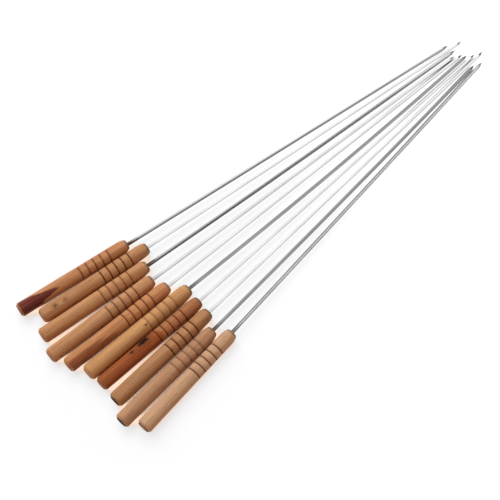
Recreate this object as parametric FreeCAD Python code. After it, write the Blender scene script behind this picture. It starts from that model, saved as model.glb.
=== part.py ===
import FreeCAD, Part
import math
import os
from typing import NamedTuple

from FreeCAD import Placement, Rotation, Vector

# Kebab skewers: ten turned wooden handles on square steel rods, laid side by side as a fan.
# Millimetres and degrees. The table is z = 0, and the fan's middle line runs along +X to the points.

# Handle, turned about its own axis
handle_length = 105.0
butt_diameter = 13.4
front_diameter = 12.5  # where the rounded nose begins
butt_face_diameter = 10.0
butt_chamfer_length = 1.8
nose_length = 8.0
nose_face_diameter = 7.8

# Burnt grooves round the front part of the handle
groove_count = 5
groove_pitch = 6.85
groove_width = 0.9
groove_depth = 0.45
front_groove_setback = 18.1  # from the nose face to the first groove's middle

# Rod, a square steel wire
rod_side = 2.5
rod_corner_radius = 0.35
rod_length = 344.0  # from the nose face to the point
point_length = 5.0
point_tip_side = 0.3
tang_length = 60.0
tang_taper_length = 6.0
tang_tip_side = 1.2

# Socket in the handle, which the tang fills
socket_clearance = 0.04
socket_end_gap = 1.0

cut_overrun = 1.0

lengthwise = Vector(1, 0, 0)
sideways = Vector(0, 1, 0)
upward = Vector(0, 0, 1)


class Skewer(NamedTuple):
    """How one skewer of the fan lies and how it differs from the named sizes."""

    lead_share: float  # how far its nose leads the hindmost nose, in handle lengths
    butt_across_share: float  # butt from the middle line, in butt diameters
    nose_across_share: float  # nose from the middle line, in front diameters
    tip_across_share: float  # point from the middle line, in rod sides
    girth_share: float  # of both handle diameters
    handle_share: float  # of the handle length
    groove_shift_share: float  # of its grooves towards the nose, in groove pitches
    rod_share: float  # of the rod length
    bow_share: float  # how far the rod's middle stands off its chord, in rod lengths
    roll_degrees: float  # of the rod about its own axis


# The fan from its far side to its near side, with each skewer's values in the order above
fan_shares = (
    Skewer(0.055, 6.43, 5.72, 10.24, 0.92, 0.996, -0.08, 1.0015, 0.0005, -40),
    Skewer(0.153, 5.16, 4.62, 8.10, 0.97, 0.995, 0.00, 1.0040, 0.0005, 30),
    Skewer(0.048, 4.15, 3.62, 7.08, 1.00, 0.992, 0.00, 1.0005, 0.0030, -36),
    Skewer(0.000, 2.84, 2.63, 5.44, 0.99, 0.999, 0.00, 1.0000, 0.0010, -6),
    Skewer(0.052, 1.66, 1.59, 4.12, 0.99, 0.997, 0.00, 1.0010, 0.0005, 38),
    Skewer(0.158, 0.46, 0.51, 2.68, 1.03, 1.031, 0.05, 0.9760, 0.0070, -5),
    Skewer(0.150, -0.57, -0.59, 1.12, 0.94, 1.006, -0.04, 0.9950, 0.0010, 34),
    Skewer(0.139, -1.91, -1.61, -0.08, 1.01, 1.002, 0.04, 1.0205, 0.0005, 38),
    Skewer(0.062, -3.13, -2.72, -1.96, 0.98, 0.998, 0.16, 0.9995, 0.0025, 40),
    Skewer(0.158, -4.27, -3.68, -3.06, 0.99, 1.003, -0.09, 0.9945, 0.0005, -38),
)


def handle_radius(girth_share, behind_nose):
    """Radius of the straight taper, which ends in the front diameter where the nose begins."""
    taper_length = handle_length - nose_length - butt_chamfer_length
    reached_share = (behind_nose - nose_length) / taper_length
    diameter = front_diameter + (butt_diameter - front_diameter) * reached_share
    return diameter * girth_share / 2


def quarter_ellipse(start, corner, end):
    """Round stretch that leaves start towards corner and comes to end from corner."""
    curve = Part.BezierCurve()
    curve.setPoles([start, corner, end])
    curve.setWeight(2, math.sqrt(0.5))
    return curve.toShape()


def groove_edge(girth_share, behind_nose):
    """Hollow of one groove, from its rear rim through its bottom to its front rim."""
    rear = behind_nose + groove_width / 2
    front = behind_nose - groove_width / 2
    bottom_radius = handle_radius(girth_share, behind_nose) - groove_depth
    return Part.Arc(
        Vector(-rear, 0, handle_radius(girth_share, rear)),
        Vector(-behind_nose, 0, bottom_radius),
        Vector(-front, 0, handle_radius(girth_share, front)),
    ).toShape()


def handle_outline(skewer):
    """Edges of the handle's half section from the butt's centre round to the nose's centre."""
    length = handle_length * skewer.handle_share
    girth_share = skewer.girth_share
    butt_radius = butt_face_diameter * girth_share / 2
    nose_radius = nose_face_diameter * girth_share / 2
    chamfer_end = length - butt_chamfer_length
    shoulder_radius = handle_radius(girth_share, nose_length)

    points = [
        Vector(-length, 0, 0),
        Vector(-length, 0, butt_radius),
        Vector(-chamfer_end, 0, handle_radius(girth_share, chamfer_end)),
    ]
    edges = [Part.makeLine(a, b) for a, b in zip(points, points[1:])]
    reached = points[-1]
    front_groove = front_groove_setback - groove_pitch * skewer.groove_shift_share
    for number in reversed(range(groove_count)):
        groove = groove_edge(girth_share, front_groove + groove_pitch * number)
        ends = sorted((v.Point for v in groove.Vertexes), key=lambda point: point.x)
        edges += [Part.makeLine(reached, ends[0]), groove]
        reached = ends[1]

    shoulder = Vector(-nose_length, 0, shoulder_radius)
    rim = Vector(0, 0, nose_radius)
    edges += [
        Part.makeLine(reached, shoulder),
        quarter_ellipse(shoulder, Vector(0, 0, shoulder_radius), rim),
        Part.makeLine(rim, Vector(0, 0, 0)),
        Part.makeLine(Vector(0, 0, 0), points[0]),
    ]
    return edges


def turned_handle(skewer):
    """Handle along X with its nose face's centre at the origin, still without its socket."""
    face = Part.Face(Part.Wire(Part.__sortEdges__(handle_outline(skewer))))
    return face.revolve(Vector(0, 0, 0), lengthwise, 360)


def rounded_square(side, corner_radius, roll_degrees):
    """Outline across the X axis of a square with rounded corners, rolled about that axis."""
    half = side / 2
    straight = half - corner_radius
    bulge = straight + corner_radius * math.sqrt(0.5)
    edges = []
    for quarter in range(4):
        turn = Rotation(lengthwise, 90 * quarter + roll_degrees)
        side_start = turn.multVec(Vector(0, half, -straight))
        side_end = turn.multVec(Vector(0, half, straight))
        corner_middle = turn.multVec(Vector(0, bulge, bulge))
        corner_end = turn.multVec(Vector(0, straight, half))
        edges.append(Part.makeLine(side_start, side_end))
        edges.append(Part.Arc(side_end, corner_middle, corner_end).toShape())
    return Part.Wire(edges)


def tapered_end(full_outline, end_side, length, roll_degrees):
    """Four-sided end of the rod that shrinks from the full outline along X."""
    end_outline = rounded_square(end_side, rod_corner_radius * end_side / rod_side, roll_degrees)
    end_outline.translate(Vector(length, 0, 0))
    return Part.makeLoft([full_outline, end_outline], True, True)


def bow_turn(skewer):
    """Angle in radians that the rod's bow turns through, and the radius of that bow."""
    length = rod_length * skewer.rod_share - point_length
    turn = 8 * skewer.bow_share
    return turn, length / turn


def square_rod(skewer):
    """Rod that leaves the origin along X and bows to its left, with its tang behind the origin."""
    turn, bow_radius = bow_turn(skewer)
    bow_centre = Vector(0, bow_radius, 0)
    outline = rounded_square(rod_side, rod_corner_radius, skewer.roll_degrees)
    section = Part.Face(outline)
    straight_tang = tang_length - tang_taper_length

    shaft = section.revolve(bow_centre, upward, math.degrees(turn))
    point = tapered_end(outline, point_tip_side, point_length, skewer.roll_degrees)
    point.rotate(bow_centre, upward, math.degrees(turn))
    tang = section.extrude(Vector(-straight_tang, 0, 0))
    tang_end = tapered_end(outline, tang_tip_side, -tang_taper_length, skewer.roll_degrees)
    tang_end.translate(Vector(-straight_tang, 0, 0))
    return shaft.multiFuse([point, tang, tang_end])


def socket(skewer):
    """Room for the tang, open at the nose face."""
    side = rod_side + 2 * socket_clearance
    outline = rounded_square(side, rod_corner_radius + socket_clearance, skewer.roll_degrees)
    outline.translate(Vector(cut_overrun, 0, 0))
    depth = tang_length + socket_end_gap
    return Part.Face(outline).extrude(Vector(-cut_overrun - depth, 0, 0))


def rod_half_height(skewer):
    """Half the height of the rolled rod, which is what it lies on at its point."""
    roll = math.radians(skewer.roll_degrees)
    straight = rod_side / 2 - rod_corner_radius
    return straight * (abs(math.cos(roll)) + abs(math.sin(roll))) + rod_corner_radius


def downward_tilt(skewer):
    """Tilt in radians of a skewer that lies on its handle's shoulder and on its rod's end."""
    drop = handle_radius(skewer.girth_share, nose_length) - rod_half_height(skewer)
    run = nose_length + rod_length * skewer.rod_share - point_length
    return math.atan2(drop, run)


def nose_height(skewer):
    """Height of the nose face's centre when the shoulder touches the table."""
    tilt = downward_tilt(skewer)
    shoulder_radius = handle_radius(skewer.girth_share, nose_length)
    return shoulder_radius * math.cos(tilt) - nose_length * math.sin(tilt)


def nose_place(skewer):
    """Centre of the nose face on its place in the fan."""
    along = handle_length * skewer.lead_share
    across = front_diameter * skewer.nose_across_share
    return Vector(along, across, nose_height(skewer))


def handle_placement(skewer):
    """Puts a handle on its nose's place with its butt the given way across."""
    butt_across = butt_diameter * skewer.butt_across_share
    nose_across = front_diameter * skewer.nose_across_share
    run = handle_length * skewer.handle_share
    heading = math.degrees(math.asin((nose_across - butt_across) / run))
    turned = Rotation(upward, heading) * Rotation(sideways, math.degrees(downward_tilt(skewer)))
    return Placement(nose_place(skewer), turned)


def rod_placement(skewer):
    """Puts a rod on its nose's place, turned so that its point comes the given way across."""
    turn, bow_radius = bow_turn(skewer)
    tip = Vector(
        bow_radius * math.sin(turn) + point_length * math.cos(turn),
        bow_radius * (1 - math.cos(turn)) + point_length * math.sin(turn),
        0,
    )
    tip_across = rod_side * skewer.tip_across_share
    nose_across = front_diameter * skewer.nose_across_share
    chord_heading = math.asin((tip_across - nose_across) / tip.Length)
    heading = math.degrees(chord_heading - math.atan2(tip.y, tip.x))
    turned = Rotation(upward, heading) * Rotation(sideways, math.degrees(downward_tilt(skewer)))
    return Placement(nose_place(skewer), turned)


def skewer_pieces(skewer):
    """Handle and rod of one skewer, both in their places in the fan."""
    rod = square_rod(skewer).transformed(rod_placement(skewer).toMatrix())
    room = socket(skewer).transformed(rod_placement(skewer).toMatrix())
    handle = turned_handle(skewer).transformed(handle_placement(skewer).toMatrix())
    return handle.cut(room), rod


def build_fan():
    """Every node's name and solid, with the origin under the middle of the whole fan."""
    nodes = {}
    for number, skewer in enumerate(fan_shares, start=1):
        handle, rod = skewer_pieces(skewer)
        nodes[f"handle_{number:02d}"] = handle
        nodes[f"rod_{number:02d}"] = rod
    box = Part.makeCompound(list(nodes.values())).optimalBoundingBox(False)
    base = Vector(box.Center.x, box.Center.y, box.ZMin)
    for shape in nodes.values():
        shape.translate(-base)
    return nodes


def write_parts(nodes):
    """One STEP file for each node."""
    os.makedirs("parts", exist_ok=True)
    for name, shape in nodes.items():
        solid = shape.Solids[0]
        print(name, "solids", len(shape.Solids), "valid", solid.isValid(), "volume", round(solid.Volume, 1))
        solid.exportStep(f"parts/{name}.step")


write_parts(build_fan())
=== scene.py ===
import math
from typing import NamedTuple

import bmesh
import bpy
from mathutils import Matrix, Vector, noise


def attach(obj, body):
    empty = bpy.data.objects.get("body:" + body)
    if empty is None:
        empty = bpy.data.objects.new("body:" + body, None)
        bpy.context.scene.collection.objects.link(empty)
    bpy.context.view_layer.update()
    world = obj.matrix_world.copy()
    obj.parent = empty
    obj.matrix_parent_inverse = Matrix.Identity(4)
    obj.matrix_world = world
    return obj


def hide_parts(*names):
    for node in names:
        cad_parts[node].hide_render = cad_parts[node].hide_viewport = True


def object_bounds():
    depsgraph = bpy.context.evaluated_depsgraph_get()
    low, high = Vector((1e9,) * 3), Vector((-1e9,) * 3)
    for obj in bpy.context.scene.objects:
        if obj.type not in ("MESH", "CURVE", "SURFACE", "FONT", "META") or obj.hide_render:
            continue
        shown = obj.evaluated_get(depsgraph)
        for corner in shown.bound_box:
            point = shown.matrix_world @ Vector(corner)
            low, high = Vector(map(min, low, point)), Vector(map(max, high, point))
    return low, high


# Kebab skewers: ten turned wooden handles on square steel rods, laid side by side as a fan.
# Metres and degrees. The table is z = 0, and the fan's middle line runs along +X to the points.

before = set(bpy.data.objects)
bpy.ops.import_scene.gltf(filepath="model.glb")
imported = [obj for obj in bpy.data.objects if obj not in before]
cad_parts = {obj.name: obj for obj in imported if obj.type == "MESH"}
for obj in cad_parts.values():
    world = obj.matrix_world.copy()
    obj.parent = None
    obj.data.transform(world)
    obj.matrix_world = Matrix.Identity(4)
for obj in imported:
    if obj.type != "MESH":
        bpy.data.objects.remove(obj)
cad_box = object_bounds()

# Handle, turned about its own X axis with its nose face's centre at the origin
handle_length = 0.105
butt_diameter = 0.0134
front_diameter = 0.0125  # where the rounded nose begins
butt_face_diameter = 0.010
butt_chamfer_length = 0.0018
nose_length = 0.008
nose_face_diameter = 0.0078
groove_count = 5
groove_pitch = 0.00685
groove_width = 0.0009
groove_depth = 0.00045
front_groove_setback = 0.0181  # from the nose face to the first groove's middle

# Fineness of the turned shape
steps_around = 72
ring_spacing = 0.003
curve_steps = 6
edge_softness = 0.0005
unevenness = 0.00008  # how far the deepest dents go in
uneven_waves = 45  # to the metre

flat_end_depth = 0.0003  # how near the end of a long piece its points count as its end face

# Camera at the photograph's viewing angle
camera_azimuth = 42.94
camera_elevation = 66.0
camera_lens = 90.0  # millimetres, on a sensor 36 mm wide
sensor_width = 36.0
camera_distance = 1.0494
camera_aim = Vector((-0.0508, -0.0144, 0.0))

# Light, in shares of the level at which a colour renders as it is written
key_level = 0.91
key_tint = (1.0, 1.05, 1.10)
fill_level = 0.37
fill_tint = (1.0, 0.71, 0.55, 1.0)
key_turn = 72.0  # compass direction that the key light comes from, from +X towards +Y
key_elevation = 48.0
key_distance = 4.0
key_side = 4.0

# Floor
floor_side = 8.0
floor_colour = (0.80, 0.66, 0.54, 1.0)  # for the light that it throws back on the object
floor_seen_colour = (0.38, 0.36, 0.36, 1.0)  # with the glow, so that it shows white with a pale shadow
floor_glow_colour = (0.93, 0.975, 1.0, 1.0)
floor_seen_glow = 0.74  # at its middle
floor_middle = (-0.18, 0.0, 0.0)  # round which the floor shows its shadow most
glow_rise_reach = (0.08, 0.45)  # from that middle, so that the floor stays white further out
gap_reach = 0.012  # how far the floor looks for pieces that shut it in
gap_rays = 40
gap_openness = (0.10, 0.19)  # open share of the view up, from a gap in painted shade to a clear place
wood_gap_shade = (0.50, 0.17, 0.06, 1.0)  # painted shade of the floor in narrow gaps between handles
steel_gap_shade = (0.22, 0.22, 0.22, 1.0)  # painted shade of the floor in narrow gaps between rods
painted_bounce_openness = (0.36, 0.60)  # over which the painted light that the wood throws on the floor fades
# Colour of the painted warm light that the wood throws on the floor beside it
painted_bounce_colour = (1.0, 0.76, 0.60, 1.0)
wood_front = (-0.120, -0.100)  # along the fan, where the floor is no longer beside wood

# Room that the steel reflects, by the height of a unit direction
wall_heights = (0.05, 0.46)  # from the top of the darkest part to where all is white
wall_dark_level = 0.03
wall_lit_level = 0.70  # of the walls on the key light's side
wall_lit_reach = (-0.1, 0.3)  # over which they come up, by how far a direction leans to that light

# Growth rings and grain of the wood, with depths as shares of the way to the deep tone or a mark's colour
growth_ring_spacing = 0.0019
pith_distance = 0.024
pith_lean = (0.0, 2.0, 3.0)  # degrees between the tree and the handle
grain_sway = 0.003
ring_depth = 0.20
streak_depth = 0.50
fibre_depth = 0.38
pore_levels = (0.60, 0.72)  # of the pores' noise, over which the marks come up
pore_depth = 0.55
handled_levels = (0.45, 0.75)  # the same for the patches that hands have greyed
handled_depth = 0.22
grain_relief = 0.0001
grain_relief_strength = 0.25

# Burnt grooves, with distances from a groove's middle in groove widths
line_reach = (0.45, 0.76)  # over which the burnt line ends
line_raggedness = 0.10
scorch_reach = (0.5, 1.5)
scorch_strength = 0.16
broken_level = 0.42  # of the wear's noise, below which a line is worn away
whole_level = 0.50  # above which it is whole, on a handle with hardly any breaks
whole_level_rise = 0.1  # of that level, on a handle whose lines are all breaks

# Ends of the handle
face_depth = 0.0001  # how near an end the wood is all face
end_depth = 0.0004  # how near an end the face's look has faded
end_raggedness = 0.0002
end_grain_depth = 0.35
ring_radius_share = 0.88  # of the butt face's radius
ring_width = 0.0014
ring_fade_shares = (1 / 3, 2 / 3)  # of the ring's width, from its middle line
smudge_shade_reach = (-0.0030, -0.0006)  # from the nose face, over which the steel smudge and painted shade come up
smudge_shade_raggedness_share = 3.0  # of the raggedness at the ends
smudge_shade_strength = 0.75
# Painted shade of a hole round the rod on the nose face, which is solid
hole_shade_radius = 0.0020
hole_shade_darkness = 0.9

# Gloss of the wood
smooth_roughness = 0.44
worn_roughness = 0.60
burnt_roughness_rise = 0.2
painted_roughness_rise = 0.4
wood_specular = 0.2

# Steel, with its dull parts as a share of its bright ones
rod_point_length = 0.005
tang_length = 0.060  # of the rod's end inside the handle
near_handle_dark_length = 0.014  # of the darker steel in front of the handle
edge_shade_reach = (-0.0012, -0.0007)  # of the painted shade along the near edge, from the rod's middle line to its left
dull_share = (0.66, 0.65, 0.63)
line_dullness = 0.3
patch_dullness = 0.25
speck_levels = (0.66, 0.74)  # of the specks' noise, over which they come up
speck_depth = 0.5
ground_depth = 0.75
ground_spread = 0.2  # of the point's length, to either side of its rear end
roughness_spread = 0.03
steel_relief = 0.00004
steel_relief_strength = 0.2

# Streaks and knots: the raggedness of their edges, and the reach of a knot's heart and halo in knot sizes
streak_raggedness = 0.18  # radians round the handle
knot_raggedness = 0.20
heart_reach = (0.60, 1.05)
halo_reach = (0.9, 2.0)
halo_strength = 0.35
chamfer_stain = 0.35  # of a streak's colour on the chamfer, which was cut last

wave_node_period = math.pi / 10  # of a wave texture whose scale is one
seed_step = (1.7, 0.31, 0.53)  # that sets each handle's noise apart from the next one's

# Levels that a noise seldom leaves, and the middle of a coloured one
noise_levels = (0.3, 0.7)
noise_middle = (0.5, 0.5, 0.5)


def colour(red, green, blue):
    """Linear colour of three 8-bit screen values."""
    screen = [value / 255 for value in (red, green, blue)]
    linear = [((value + 0.055) / 1.055) ** 2.4 if value > 0.04045 else value / 12.92 for value in screen]
    return (*linear, 1.0)


class Pattern(NamedTuple):
    """Noise drawn out along a piece, in waves to the metre."""

    along: float
    across: float
    detail: float  # number of finer layers of waves


class Knot(NamedTuple):
    """Small dark knot in a handle's surface."""

    from_butt: float
    turn: float  # degrees round the handle, from its top towards its left
    length: float
    width: float
    strength: float
    tone: tuple


class Streak(NamedTuple):
    """Long wedge of differently coloured wood, widest at the butt."""

    length_share: float  # of the handle's length
    turn: float  # degrees round the handle, from its top towards its left
    half_width: float  # degrees round the handle, at the butt
    bluntness: float  # one for a plain wedge, more for a streak that keeps its width
    softness: float  # of its edge, in radians round the handle
    pale: tuple
    deep: tuple
    strength: float


class Look(NamedTuple):
    """How one handle differs from the others."""

    slot: str
    groove_shift_share: float  # of its grooves towards the nose, in groove pitches
    lightness: float
    saturation: float
    grain_turn: float  # degrees round the handle to the middle of its tree
    groove_strength: float
    groove_breaks: float  # share of a groove's line that has worn away
    butt_finish: str
    knots: tuple = ()
    streaks: tuple = ()


white = (1.0, 1.0, 1.0, 1.0)
char = colour(108, 42, 10)
black = colour(24, 19, 17)
# Grey of the steel smudge and painted shade on the handles' noses
smudge_shade_grey = colour(96, 84, 74)
maroon = (colour(138, 58, 40), colour(62, 16, 13))
reddish = (colour(188, 104, 50), colour(142, 66, 22))
brownish = (colour(164, 96, 54), colour(122, 62, 28))
knot_brown = colour(96, 60, 30)
knot_black = colour(26, 9, 3)
handled_grey = colour(150, 118, 92)
# Grey of the steel's specks and ground point, and of the painted shade along the rods' near edges
speck_ground_and_edge_shade_grey = colour(70, 66, 62)

# Pale and deep tone of each kind of wood
wood_tones = {
    "wood_orange": (colour(214, 156, 100), colour(178, 112, 64)),
    "wood_tan": (colour(214, 162, 110), colour(182, 124, 76)),
    "wood_golden": (colour(220, 170, 110), colour(190, 134, 80)),
    "wood_red": (colour(204, 140, 92), colour(168, 100, 60)),
}

wood_sway = Pattern(9, 55, 2)
wood_streaks = Pattern(14, 420, 3)
wood_fibres = Pattern(55, 2600, 3)
wood_pores = Pattern(260, 5200, 1)
handled_patches = Pattern(22, 90, 3)
gloss_patches = Pattern(40, 160, 3)
streak_edge = Pattern(30, 500, 4)
knot_edge = Pattern(500, 900, 3)
groove_edge = Pattern(700, 700, 3)
groove_wear = Pattern(250, 420, 2)
end_edge = Pattern(600, 600, 2)
drawn_lines = Pattern(18, 5000, 3)
steel_patches = Pattern(30, 200, 3)
steel_specks = Pattern(900, 2200, 2)

# The handles from the far side of the fan to its near side
looks = (
    Look(
        "wood_orange", -0.08, 1.06, 0.93, 30, 0.75, 0.1, "bare",
        streaks=(Streak(0.37, -25, 84, 1.2, 0.16, *maroon, 1.0),),
    ),
    Look(
        "wood_tan", 0.00, 0.96, 0.95, 160, 0.95, 0.0, "bare",
        knots=(
            Knot(0.0136, -4, 0.0050, 0.0036, 0.80, knot_brown),
            Knot(0.0231, -9, 0.0048, 0.0036, 0.55, knot_brown),
        ),
    ),
    Look("wood_tan", 0.00, 1.02, 0.96, 75, 0.65, 0.25, "bare"),
    Look(
        "wood_tan", 0.00, 1.01, 0.94, 200, 0.75, 0.1, "bare",
        knots=(Knot(0.0073, -70, 0.0022, 0.0014, 0.8, knot_brown),),
    ),
    Look(
        "wood_orange", 0.00, 1.07, 0.95, 110, 0.8, 0.1, "bare",
        streaks=(Streak(0.50, -62, 74, 1.5, 0.7, *brownish, 0.85),),
    ),
    Look(
        "wood_golden", 0.05, 1.03, 0.96, 50, 0.38, 0.25, "bare",
        knots=(Knot(0.0605, -18, 0.0032, 0.0018, 0.9, knot_brown),),
    ),
    Look(
        "wood_red", -0.04, 0.90, 0.99, 250, 0.82, 0.1, "bare",
        knots=(
            Knot(0.0480, 30, 0.0135, 0.0062, 1.0, knot_black),
            Knot(0.0352, 22, 0.0050, 0.0032, 0.9, knot_black),
        ),
        streaks=(Streak(0.62, -20, 200, 4.0, 0.3, *reddish, 0.9),),
    ),
    Look("wood_tan", 0.04, 0.88, 0.95, 20, 1.0, 0.0, "black"),
    Look("wood_tan", 0.16, 0.93, 0.86, 140, 0.45, 0.5, "black"),
    Look("wood_golden", -0.09, 1.05, 0.77, 300, 0.85, 0.0, "ringed"),
)


def shares(steps):
    """Evenly spaced shares from zero to one."""
    return [step / steps for step in range(steps + 1)]


def add_object(name, data):
    """New object in the scene."""
    made = bpy.data.objects.new(name, data)
    bpy.context.scene.collection.objects.link(made)
    return made


# Shape of the handles


def mesh_points(node):
    """Every different point of a node's mesh."""
    return {vertex.co.copy().freeze() for vertex in node.data.vertices}


def flat_end_centre(points, outward):
    """Centre of the flat end that faces outward."""
    reach = max(point.dot(outward) for point in points)
    end = [point for point in points if reach - point.dot(outward) < flat_end_depth]
    middle = sum(end, Vector()) / len(end)
    return middle + outward * (reach - middle.dot(outward))


def axis_ends(points):
    """Centres of the rear and front ends of a long piece that lies along X, from its different points."""
    middle = sum(points, Vector()) / len(points)
    rear = [point for point in points if point.x < middle.x]
    front = [point for point in points if point.x >= middle.x]
    forward = (sum(front, Vector()) / len(front) - sum(rear, Vector()) / len(rear)).normalized()
    return flat_end_centre(points, -forward), flat_end_centre(points, forward)


def place_along(origin, forward):
    """Place with its X axis forward, its Y axis level to the left and its Z axis upright."""
    left = Vector((0, 0, 1)).cross(forward).normalized()
    upright = forward.cross(left)
    turned = Matrix((forward, left, upright)).transposed()
    return Matrix.Translation(origin) @ turned.to_4x4()


def body_radius(behind_nose):
    """Radius of the handle's straight taper."""
    taper_length = handle_length - nose_length - butt_chamfer_length
    reached_share = (behind_nose - nose_length) / taper_length
    return (front_diameter + (butt_diameter - front_diameter) * reached_share) / 2


def soft_corner(before, corner, after):
    """Short curve that rounds a corner of the profile off."""
    start = corner + (before - corner).normalized() * edge_softness
    end = corner + (after - corner).normalized() * edge_softness
    return [start.lerp(corner, t).lerp(corner.lerp(end, t), t) for t in shares(curve_steps)]


def body_stretch(rear, front):
    """Evenly spaced points of the straight taper between two distances behind the nose."""
    steps = max(1, round((rear - front) / ring_spacing))
    spots = [rear + (front - rear) * share for share in shares(steps)]
    return [Vector((-spot, body_radius(spot))) for spot in spots]


def first_groove(groove_shift_share):
    """Distance from the nose face to the middle of the first groove."""
    return front_groove_setback - groove_pitch * groove_shift_share


def groove_hollow(middle):
    """Points of one groove's hollow, from its rear rim to its front rim."""
    spots = [middle + groove_width * (0.5 - share) for share in shares(2 * curve_steps)]
    depths = [groove_depth * (1 - ((spot - middle) / (groove_width / 2)) ** 2) for spot in spots]
    return [Vector((-spot, body_radius(spot) - depth)) for spot, depth in zip(spots, depths)]


def nose_curve():
    """Points of the rounded nose, from its shoulder to the rim of its face."""
    drop = body_radius(nose_length) - nose_face_diameter / 2
    turns = [math.radians(90) * share for share in shares(2 * curve_steps)]
    return [
        Vector((nose_length * (math.sin(turn) - 1), nose_face_diameter / 2 + drop * math.cos(turn)))
        for turn in turns
    ]


def handle_profile(length, groove_shift_share):
    """Half section of a handle, from its butt's centre round to its nose's centre."""
    chamfer_end = length - butt_chamfer_length
    butt_centre = Vector((-length, 0))
    butt_rim = Vector((-length, butt_face_diameter / 2))
    chamfer_rim = Vector((-chamfer_end, body_radius(chamfer_end)))
    first = first_groove(groove_shift_share)
    grooves = [first + groove_pitch * number for number in reversed(range(groove_count))]
    rear_rims = [middle + groove_width / 2 for middle in grooves] + [nose_length]
    front_rims = [middle - groove_width / 2 for middle in grooves]

    after_chamfer = Vector((-rear_rims[0], body_radius(rear_rims[0])))
    points = [butt_centre]
    points += soft_corner(butt_centre, butt_rim, chamfer_rim)
    points += soft_corner(butt_rim, chamfer_rim, after_chamfer)
    points += body_stretch(chamfer_end - 2 * edge_softness, rear_rims[0])[:-1]
    for middle, front_rim, next_rim in zip(grooves, front_rims, rear_rims[1:]):
        points += groove_hollow(middle)
        points += body_stretch(front_rim, next_rim)[1:-1]
    points += nose_curve()
    points.append(Vector((0, 0)))
    return points


def uneven_ring(shape, point, girth_share, seed):
    """Ring of points about the X axis, pressed in a little here and there."""
    ring = []
    for step in range(steps_around):
        turn = 2 * math.pi * step / steps_around
        outward = Vector((0, math.sin(turn), math.cos(turn)))
        wave = noise.noise(Vector((point.x * uneven_waves + seed, outward.y, outward.z)))
        radius = point.y * girth_share - unevenness * (1 + wave) / 2
        ring.append(shape.verts.new((point.x, outward.y * radius, outward.z * radius)))
    return ring


def turned_mesh(name, profile, girth_share, seed):
    """Slightly uneven mesh turned about the X axis from a profile that starts and ends on it."""
    shape = bmesh.new()
    rings = [uneven_ring(shape, point, girth_share, seed) for point in profile[1:-1]]
    for ring, following in zip(rings, rings[1:]):
        for step in range(steps_around):
            after = (step + 1) % steps_around
            shape.faces.new((ring[step], following[step], following[after], ring[after]))
    for point, ring in ((profile[0], rings[0]), (profile[-1], rings[-1])):
        centre = shape.verts.new((point.x, 0, 0))
        for step in range(steps_around):
            shape.faces.new((ring[step], ring[(step + 1) % steps_around], centre))
    bmesh.ops.recalc_face_normals(shape, faces=shape.faces)
    for face in shape.faces:
        face.smooth = True
    mesh = bpy.data.meshes.new(name)
    shape.to_mesh(mesh)
    shape.free()
    return mesh


# Shader nodes


class Shader:
    """Nodes of a material or of the world, added one by one and joined as they come."""

    def __init__(self, owner):
        owner.use_nodes = True
        self.tree = owner.node_tree
        self.tree.nodes.clear()

    def node(self, kind, inputs=(), **settings):
        """A node with its settings, and with values or other nodes' outputs for its inputs."""
        made = self.tree.nodes.new(kind)
        for name, value in settings.items():
            setattr(made, name, value)
        for key, value in dict(inputs).items():
            if isinstance(value, bpy.types.NodeSocket):
                self.tree.links.new(value, made.inputs[key])
            else:
                made.inputs[key].default_value = value
        return made

    def own_frame(self, place):
        """Coordinates in the frame of a piece that has been put in that place."""
        coordinates = self.node("ShaderNodeTexCoord").outputs["Object"]
        inputs = {"Vector": coordinates, "Location": place.translation, "Rotation": place.to_euler()}
        return self.node("ShaderNodeMapping", inputs, vector_type="TEXTURE").outputs[0]

    def math(self, operation, *values):
        """Number worked out from numbers."""
        return self.node("ShaderNodeMath", enumerate(values), operation=operation).outputs[0]

    def vector(self, operation, *vectors):
        """Vector worked out from vectors."""
        return self.node("ShaderNodeVectorMath", enumerate(vectors), operation=operation).outputs[0]

    def measure(self, operation, *vectors):
        """Number worked out from vectors."""
        return self.node("ShaderNodeVectorMath", enumerate(vectors), operation=operation).outputs["Value"]

    def parts(self, vector):
        """The three parts of a vector."""
        return self.node("ShaderNodeSeparateXYZ", {0: vector}).outputs[:3]

    def step(self, value, low, high, at_low=0.0, at_high=1.0):
        """Smooth change from at_low, where the value is low, to at_high, where it is high."""
        inputs = enumerate((value, low, high, at_low, at_high))
        return self.node("ShaderNodeMapRange", inputs, interpolation_type="SMOOTHSTEP").outputs[0]

    def mix(self, share, first, second):
        """First colour, with that share of the second."""
        return self.node("ShaderNodeMix", {0: share, 6: first, 7: second}, data_type="RGBA").outputs[2]

    def noise(self, spot, pattern):
        """Outputs of a noise from zero to one."""
        waves = self.vector("MULTIPLY", spot, (pattern.along, pattern.across, pattern.across))
        inputs = {"Vector": waves, "Scale": 1.0, "Detail": pattern.detail}
        return self.node("ShaderNodeTexNoise", inputs).outputs

    def varied(self, spot, pattern, low, high):
        """Value that a noise carries between low and high."""
        return self.step(self.noise(spot, pattern)["Fac"], *noise_levels, low, high)

    def product(self, *values):
        """Numbers multiplied together."""
        result = values[0]
        for value in values[1:]:
            result = self.math("MULTIPLY", result, value)
        return result

    def cover(self, inputs, relief, relief_depth, relief_strength):
        """Gives the material a surface with these inputs and this relief."""
        relief_inputs = {"Height": relief, "Distance": relief_depth, "Strength": relief_strength}
        bump = self.node("ShaderNodeBump", relief_inputs)
        surface = self.node("ShaderNodeBsdfPrincipled", {**inputs, "Normal": bump.outputs[0]})
        self.node("ShaderNodeOutputMaterial", {"Surface": surface.outputs[0]})


# Wood


class Handle(NamedTuple):
    """Where one handle lies and how large it is."""

    number: int
    place: Matrix
    length: float
    girth_share: float


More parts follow.
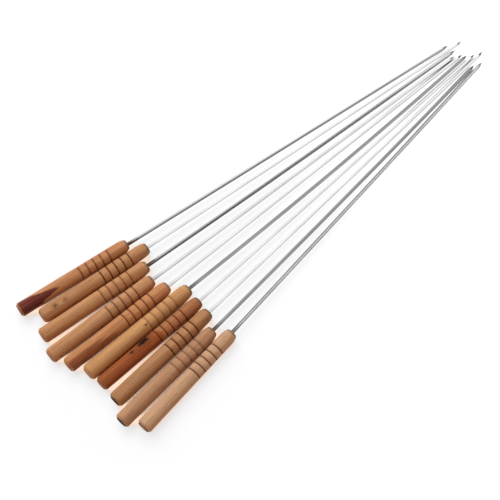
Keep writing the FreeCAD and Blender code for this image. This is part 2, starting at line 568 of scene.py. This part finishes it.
def growth_rings(shader, spot, look):
    """Dark late wood of the rings round a pith that lies outside the handle."""
    turn = math.radians(look.grain_turn)
    pith = (0, pith_distance * math.sin(turn), pith_distance * math.cos(turn))
    lean = [math.radians(angle) for angle in pith_lean]
    inputs = {"Vector": spot, "Location": pith, "Rotation": lean}
    in_tree = shader.node("ShaderNodeMapping", inputs, vector_type="TEXTURE").outputs[0]
    inputs = {"Vector": in_tree, "Scale": wave_node_period / growth_ring_spacing, "Distortion": 0.0}
    rings = shader.node("ShaderNodeTexWave", inputs, wave_type="RINGS", rings_direction="X").outputs["Fac"]
    return shader.product(rings, rings)


def wood_grain(shader, spot, seeded, look, pale, deep):
    """Colour and relief of the bare wood: growth rings, broad streaks, long fibres and short dark pores."""
    drift = shader.vector("SUBTRACT", shader.noise(seeded, wood_sway)["Color"], noise_middle)
    sway = shader.vector("MULTIPLY", drift, (0, 2 * grain_sway, 2 * grain_sway))
    swayed = shader.vector("ADD", seeded, sway)
    fibres = shader.noise(swayed, wood_fibres)["Fac"]
    pores = shader.noise(swayed, wood_pores)["Fac"]

    depth = shader.product(growth_rings(shader, shader.vector("ADD", spot, sway), look), ring_depth)
    depth = shader.math("ADD", depth, shader.varied(swayed, wood_streaks, 0.0, streak_depth))
    depth = shader.math("ADD", depth, shader.step(fibres, *noise_levels, 0.0, fibre_depth))
    wood = shader.mix(depth, pale, deep)
    pore_marks = shader.step(pores, *pore_levels, 0.0, pore_depth)
    wood = shader.mix(pore_marks, wood, knot_brown)
    patches = shader.noise(seeded, handled_patches)["Fac"]
    wood = shader.mix(shader.step(patches, *handled_levels, 0.0, handled_depth), wood, handled_grey)
    inputs = {"Color": wood, "Value": look.lightness, "Saturation": look.saturation}
    wood = shader.node("ShaderNodeHueSaturation", inputs).outputs[0]
    return wood, shader.math("SUBTRACT", fibres, pore_marks)


def streak_share(shader, seeded, axes, streak, length):
    """How much of a streak's colour the wood has at each place."""
    along, left, upward = axes
    around = shader.math("ARCTAN2", left, upward)
    off_middle = shader.math("ABSOLUTE", shader.math("SUBTRACT", around, math.radians(streak.turn)))
    to_nose = shader.math("DIVIDE", shader.math("ADD", along, length), length * streak.length_share)
    narrowing = shader.math("SUBTRACT", 1.0, shader.math("POWER", to_nose, streak.bluntness))
    reach = shader.product(narrowing, math.radians(streak.half_width))
    inside = shader.math("SUBTRACT", reach, off_middle)
    ragged = shader.varied(seeded, streak_edge, -streak_raggedness, streak_raggedness)
    inside = shader.math("ADD", inside, ragged)
    share = shader.step(inside, -streak.softness / 2, streak.softness / 2, 0.0, streak.strength)
    past_chamfer = shader.math("ADD", along, length - butt_chamfer_length)
    off_chamfer = shader.step(past_chamfer, -edge_softness, edge_softness, chamfer_stain, 1.0)
    return shader.product(share, off_chamfer)


def knot_share(shader, spot, seeded, knot, length, radius):
    """How much of a knot's colour the wood has at each place: a dark heart in a paler halo."""
    turn = math.radians(knot.turn)
    middle = (knot.from_butt - length, radius * math.sin(turn), radius * math.cos(turn))
    offset = shader.vector("SUBTRACT", spot, middle)
    sized = shader.vector("DIVIDE", offset, (knot.length / 2, knot.width / 2, knot.width / 2))
    ragged = shader.varied(seeded, knot_edge, -knot_raggedness, knot_raggedness)
    away = shader.math("ADD", shader.measure("LENGTH", sized), ragged)
    heart = shader.step(away, *heart_reach, knot.strength, 0.0)
    halo = shader.step(away, *halo_reach, knot.strength * halo_strength, 0.0)
    return shader.math("MAXIMUM", heart, halo)


def groove_share(shader, seeded, axes, look):
    """How burnt the wood is: dark in the grooves, scorched beside them."""
    behind_nose = shader.product(axes[0], -1.0)
    behind_first = shader.math("SUBTRACT", behind_nose, first_groove(look.groove_shift_share))
    pitches = shader.math("DIVIDE", behind_first, groove_pitch)
    nearest = shader.math("MINIMUM", shader.math("ROUND", pitches), float(groove_count - 1))
    nearest = shader.math("MAXIMUM", nearest, 0.0)
    away = shader.math("ABSOLUTE", shader.math("SUBTRACT", pitches, nearest))
    away = shader.product(away, groove_pitch / groove_width)
    ragged = shader.varied(seeded, groove_edge, -line_raggedness, line_raggedness)
    away = shader.math("ADD", away, ragged)
    line = shader.step(away, *line_reach, look.groove_strength, 0.0)
    wear = shader.noise(seeded, groove_wear)["Fac"]
    whole = whole_level + whole_level_rise * look.groove_breaks
    kept = shader.step(wear, broken_level, whole, 1.0 - look.groove_breaks, 1.0)
    scorch = shader.step(away, *scorch_reach, scorch_strength * look.groove_strength, 0.0)
    return shader.math("MAXIMUM", shader.product(line, kept), scorch)


def off_axis(shader, axes):
    """Distance from the handle's middle line."""
    left, upward = axes[1:]
    squares = shader.math("ADD", shader.product(left, left), shader.product(upward, upward))
    return shader.math("SQRT", squares)


def paint_share(shader, radius, on_butt, look, handle):
    """How much black the butt face carries: all over it or in a ring."""
    face_radius = butt_face_diameter * handle.girth_share / 2
    if look.butt_finish == "black":
        painted = shader.step(radius, face_radius - end_raggedness, face_radius, 1.0, 0.0)
        return shader.product(on_butt, painted)
    if look.butt_finish == "ringed":
        off_ring = shader.math("ABSOLUTE", shader.math("SUBTRACT", radius, face_radius * ring_radius_share))
        fade = [ring_width * share for share in ring_fade_shares]
        return shader.product(on_butt, shader.step(off_ring, *fade, 1.0, 0.0))
    return None


def nose_shade_and_smudge(shader, wood, along, radius, ragged):
    """Nose with a steel smudge and painted shade towards its face, and painted shade of a hole round the
    rod.
    """
    front = shader.math("ADD", along, shader.product(ragged, smudge_shade_raggedness_share))
    # painted shade and steel smudge over the front of the nose, where it curves away
    nose_shade = shader.step(front, *smudge_shade_reach, 0.0, smudge_shade_strength)
    wood = shader.mix(nose_shade, wood, smudge_shade_grey)
    # painted shade of a hole round the rod
    hole_shade_fade = (hole_shade_radius - end_raggedness, hole_shade_radius + end_raggedness)
    hole_shade = shader.step(radius, *hole_shade_fade, hole_shade_darkness, 0.0)
    at_nose = shader.step(along, -end_depth, -face_depth)
    return shader.mix(shader.product(hole_shade, at_nose), wood, black)


def marked_wood(shader, spot, seeded, axes, look, handle):
    """Colour and relief of the wood with its streaks and knots."""
    pale, deep = wood_tones[look.slot]
    for streak in look.streaks:
        share = streak_share(shader, seeded, axes, streak, handle.length)
        pale = shader.mix(share, pale, streak.pale)
        deep = shader.mix(share, deep, streak.deep)
    wood, relief = wood_grain(shader, spot, seeded, look, pale, deep)
    radius = body_radius(handle.length / 2) * handle.girth_share
    for knot in look.knots:
        share = knot_share(shader, spot, seeded, knot, handle.length, radius)
        wood = shader.mix(share, wood, knot.tone)
    return wood, relief


def wood_material(look, handle):
    """Finish of one handle, worked out in the handle's own frame."""
    material = bpy.data.materials.new(f"{look.slot}_{handle.number:02d}")
    shader = Shader(material)
    spot = shader.own_frame(handle.place)
    axes = shader.parts(spot)
    seeded = shader.vector("ADD", spot, [step * handle.number for step in seed_step])

    wood, relief = marked_wood(shader, spot, seeded, axes, look, handle)
    burnt = groove_share(shader, seeded, axes, look)
    wood = shader.mix(burnt, wood, char)

    along = axes[0]
    ragged = shader.varied(seeded, end_edge, -end_raggedness, end_raggedness)
    ragged_radius = shader.math("ADD", off_axis(shader, axes), ragged)
    from_butt = shader.math("ADD", along, handle.length)
    on_butt = shader.step(from_butt, face_depth, end_depth, 1.0, 0.0)
    wood = shader.mix(shader.product(on_butt, end_grain_depth), wood, knot_brown)
    wood = nose_shade_and_smudge(shader, wood, along, ragged_radius, ragged)

    roughness = shader.varied(seeded, gloss_patches, smooth_roughness, worn_roughness)
    roughness = shader.math("ADD", roughness, shader.product(burnt, burnt_roughness_rise))
    painted = paint_share(shader, ragged_radius, on_butt, look, handle)
    if painted:
        wood = shader.mix(painted, wood, black)
        roughness = shader.math("ADD", roughness, shader.product(painted, painted_roughness_rise))

    inputs = {"Base Color": wood, "Roughness": roughness, "Specular IOR Level": wood_specular}
    shader.cover(inputs, relief, grain_relief, grain_relief_strength)
    return material


# Steel


class Finish(NamedTuple):
    """How one rod's steel differs from the others."""

    brightness: float
    roughness: float
    near_handle_dark: float  # how dark the steel is beside the handle
    edge: float  # painted shade along its near edge, the side away from the key light


# The rods from the far side of the fan to its near side
finishes = (
    Finish(0.80, 0.16, 0.85, 0.55),
    Finish(1.00, 0.09, 0.20, 0.38),
    Finish(0.96, 0.14, 0.85, 0.58),
    Finish(0.94, 0.14, 0.30, 0.34),
    Finish(1.00, 0.09, 0.20, 0.40),
    Finish(0.37, 0.26, 0.60, 0.00),
    Finish(1.00, 0.09, 0.20, 0.32),
    Finish(1.00, 0.09, 0.20, 0.36),
    Finish(0.42, 0.18, 0.60, 0.20),
    Finish(0.80, 0.14, 0.60, 0.25),
)


def steel_material(number, finish, tip, forward, reach):
    """Drawn steel wire with fine lengthwise lines, a ground, darker point, darker steel beside the handle
    and painted shade along its near edge.
    """
    material = bpy.data.materials.new(f"steel_{number:02d}")
    shader = Shader(material)
    spot = shader.own_frame(place_along(tip, forward))
    along, left = shader.parts(spot)[:2]
    lines = shader.noise(spot, drawn_lines)["Fac"]
    patches = shader.noise(spot, steel_patches)["Fac"]
    specks = shader.noise(spot, steel_specks)["Fac"]

    bright = (finish.brightness, finish.brightness, finish.brightness, 1.0)
    worn = (*[finish.brightness * share for share in dull_share], 1.0)
    line_marks = shader.step(lines, *noise_levels, 0.0, line_dullness)
    patch_marks = shader.step(patches, *noise_levels, 0.0, patch_dullness)
    steel = shader.mix(shader.math("ADD", line_marks, patch_marks), bright, worn)
    steel = shader.mix(shader.step(specks, *speck_levels, 0.0, speck_depth), steel, speck_ground_and_edge_shade_grey)
    # steel darker just in front of the handle
    near_handle_dark = shader.step(along, -reach, near_handle_dark_length - reach, finish.near_handle_dark, 0.0)
    steel = shader.mix(near_handle_dark, steel, black)
    # painted shade along the rod's near edge, the side away from the key light
    edge = shader.step(left, *edge_shade_reach, finish.edge, 0.0)
    steel = shader.mix(edge, steel, speck_ground_and_edge_shade_grey)
    ground_fade = [-rod_point_length * share for share in (1 + ground_spread, 1 - ground_spread)]
    ground = shader.step(along, *ground_fade, 0.0, ground_depth)
    steel = shader.mix(ground, steel, speck_ground_and_edge_shade_grey)

    smooth = finish.roughness - roughness_spread
    dull = finish.roughness + roughness_spread
    roughness = shader.step(patches, *noise_levels, smooth, dull)
    inputs = {"Base Color": steel, "Metallic": 1.0, "Roughness": roughness}
    shader.cover(inputs, lines, steel_relief, steel_relief_strength)
    return material


# Pieces


def dress_handle(number, look):
    """Turned handle in place of the plain one, on the body that carries it."""
    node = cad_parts[f"handle_{number:02d}"]
    points = mesh_points(node)
    butt, nose = axis_ends(points)
    forward = (nose - butt).normalized()
    length = (nose - butt).length
    widest = max(((point - nose) - forward * (point - nose).dot(forward)).length for point in points)
    girth_share = widest / body_radius(length - butt_chamfer_length)

    name = f"turned_handle_{number:02d}"
    place = place_along(nose, forward)
    mesh = turned_mesh(name, handle_profile(length, look.groove_shift_share), girth_share, number)
    mesh.transform(place)
    mesh.materials.append(wood_material(look, Handle(number, place, length, girth_share)))
    piece = add_object(name, mesh)
    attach(piece, f"skewer_{number:02d}")
    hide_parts(node.name)


def dress_rod(number, finish):
    """Steel finish for a rod."""
    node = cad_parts[f"rod_{number:02d}"]
    tang_end, tip = axis_ends(mesh_points(node))
    forward = (tip - tang_end).normalized()
    reach = (tip - tang_end).length - tang_length
    node.material_slots[0].material = steel_material(number, finish, tip, forward, reach)


# Stage


def seen_share(shader):
    """One for the camera's rays and for those of reflections, zero for light on the object."""
    path = shader.node("ShaderNodeLightPath").outputs
    shown = shader.math("MAXIMUM", path["Is Camera Ray"], path["Is Glossy Ray"])
    return shader.math("MAXIMUM", shown, path["Is Transmission Ray"])


def floor_material():
    """White floor with the object's shadow, painted shade in narrow gaps and painted warm light from the
    wood just beside it.
    """
    material = bpy.data.materials.new("floor")
    shader = Shader(material)
    seen = seen_share(shader)
    view_up = shader.node("ShaderNodeAmbientOcclusion", {"Distance": gap_reach}, samples=gap_rays)
    openness = view_up.outputs["AO"]
    # clear falls to nothing in narrow gaps, where painted shade takes the place of the floor's glow
    clear = shader.step(openness, *gap_openness)
    spot = shader.node("ShaderNodeTexCoord").outputs["Object"]
    beside_wood = shader.step(shader.parts(spot)[0], *wood_front, 1.0, 0.0)
    # painted light: the floor glows warm just beside the wood
    painted_bounce = shader.product(beside_wood, shader.step(openness, *painted_bounce_openness, 1.0, 0.0))
    # painted shade in narrow gaps: dark brown between handles, grey between rods
    painted_gap_shade = shader.mix(beside_wood, steel_gap_shade, wood_gap_shade)

    seen_colour = shader.mix(clear, painted_gap_shade, floor_seen_colour)
    own = shader.node("ShaderNodeBsdfDiffuse", {"Color": shader.mix(seen, floor_colour, seen_colour)})
    from_middle = shader.measure("DISTANCE", spot, floor_middle)
    level = shader.step(from_middle, *glow_rise_reach, floor_seen_glow, 1.0)
    glow = shader.product(seen, clear, shader.math("MAXIMUM", level, painted_bounce))
    clear_glow_colour = shader.mix(painted_bounce, floor_glow_colour, painted_bounce_colour)
    glow_colour = shader.mix(clear, painted_gap_shade, clear_glow_colour)
    shine = shader.node("ShaderNodeEmission", {"Color": glow_colour, "Strength": glow})
    both = shader.node("ShaderNodeAddShader", {0: own.outputs[0], 1: shine.outputs[0]})
    shader.node("ShaderNodeOutputMaterial", {"Surface": both.outputs[0]})
    return material


def make_floor():
    """Wide level floor under the fan."""
    half = floor_side / 2
    corners = [(-half, -half, 0), (half, -half, 0), (half, half, 0), (-half, half, 0)]
    mesh = bpy.data.meshes.new("floor")
    mesh.from_pydata(corners, [], [(0, 1, 2, 3)])
    mesh.materials.append(floor_material())
    floor = add_object("floor", mesh)
    floor.location.z = cad_box[0].z


def make_world():
    """Soft even light, plain white for the camera, and for steel a white room with low dark walls."""
    world = bpy.data.worlds.new("studio")
    bpy.context.scene.world = world
    shader = Shader(world)
    direction = shader.node("ShaderNodeTexCoord").outputs["Generated"]
    wall = shader.step(shader.parts(direction)[2], *wall_heights, wall_dark_level, 1.0)
    turn = math.radians(key_turn)
    lean = shader.measure("DOT_PRODUCT", direction, (math.cos(turn), math.sin(turn), 0))
    wall = shader.math("MAXIMUM", wall, shader.step(lean, *wall_lit_reach, 0.0, wall_lit_level))
    path = shader.node("ShaderNodeLightPath").outputs
    room = shader.math("MAXIMUM", wall, path["Is Camera Ray"])
    fill = shader.node("ShaderNodeBackground", {"Color": fill_tint, "Strength": fill_level})
    seen = shader.node("ShaderNodeBackground", {"Color": white, "Strength": room})
    inputs = {0: seen_share(shader), 1: fill.outputs[0], 2: seen.outputs[0]}
    both = shader.node("ShaderNodeMixShader", inputs)
    shader.node("ShaderNodeOutputWorld", {"Surface": both.outputs[0]})


def make_key_light():
    """Large soft lamp, beyond the fan and to the left as the camera sees it."""
    turn = math.radians(key_turn)
    rise = math.radians(key_elevation)
    outward = Vector((math.cos(turn) * math.cos(rise), math.sin(turn) * math.cos(rise), math.sin(rise)))
    lamp = bpy.data.lights.new("key", "AREA")
    lamp.shape = "SQUARE"
    lamp.size = key_side
    lamp.color = key_tint
    lamp.energy = key_level * (math.pi * key_distance) ** 2  # shows white at the key level
    lamp_object = add_object("key", lamp)
    middle = (cad_box[0] + cad_box[1]) / 2
    lamp_object.location = middle + outward * key_distance
    lamp_object.rotation_euler = (-outward).to_track_quat("-Z", "Y").to_euler()
    lamp_object.visible_glossy = False  # steel shows the white room instead


def make_camera():
    """Camera that looks at the fan from the photograph's side and height."""
    azimuth = math.radians(camera_azimuth)
    elevation = math.radians(camera_elevation)
    level_part = math.cos(elevation)
    looking = Vector((math.sin(azimuth) * level_part, math.cos(azimuth) * level_part, -math.sin(elevation)))
    camera = bpy.data.cameras.new("camera")
    camera.lens = camera_lens
    camera.sensor_width = sensor_width
    camera_object = add_object("camera", camera)
    camera_object.location = camera_aim - looking * camera_distance
    camera_object.rotation_euler = looking.to_track_quat("-Z", "Y").to_euler()
    bpy.context.scene.camera = camera_object


for number, look in enumerate(looks, start=1):
    dress_handle(number, look)
for number, finish in enumerate(finishes, start=1):
    dress_rod(number, finish)
make_floor()
make_world()
make_key_light()
make_camera()
bpy.context.scene.view_settings.view_transform = "Standard"
